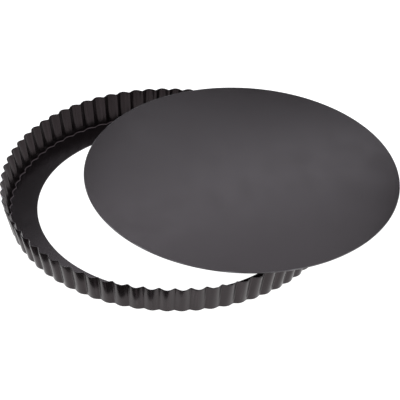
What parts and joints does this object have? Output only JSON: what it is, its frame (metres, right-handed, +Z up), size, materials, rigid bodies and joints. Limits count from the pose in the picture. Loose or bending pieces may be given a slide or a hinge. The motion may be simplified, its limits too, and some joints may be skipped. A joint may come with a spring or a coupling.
{
  "type": "loose-bottom tart tin",
  "caption": "Round fluted tart tin in dark coated steel: a flared ring with a ledge turned inwards and a flat loose base, lifted out and lying across the rim.",
  "frame": {"origin": "middle of the footprint of ring and base together, on the surface that the ring stands on", "axes": "+Z up, along the ring's axis; +X from the ring's axis towards the base lying on the rim"},
  "size_m": [0.329, 0.2798, 0.0272],
  "materials": {
    "coated_steel": "thin dark grey non-stick coating on steel sheet, satin"
  },
  "bodies": {
    "ring": {"fluted_ring": "coated_steel"},
    "base": {"loose_base": "coated_steel"}
  },
  "joints": [
    {"name": "base_lift", "type": "slide", "parent": "ring", "child": "base", "axis": [0, 0, 1], "range_m": [0, 0.08]}
  ]
}
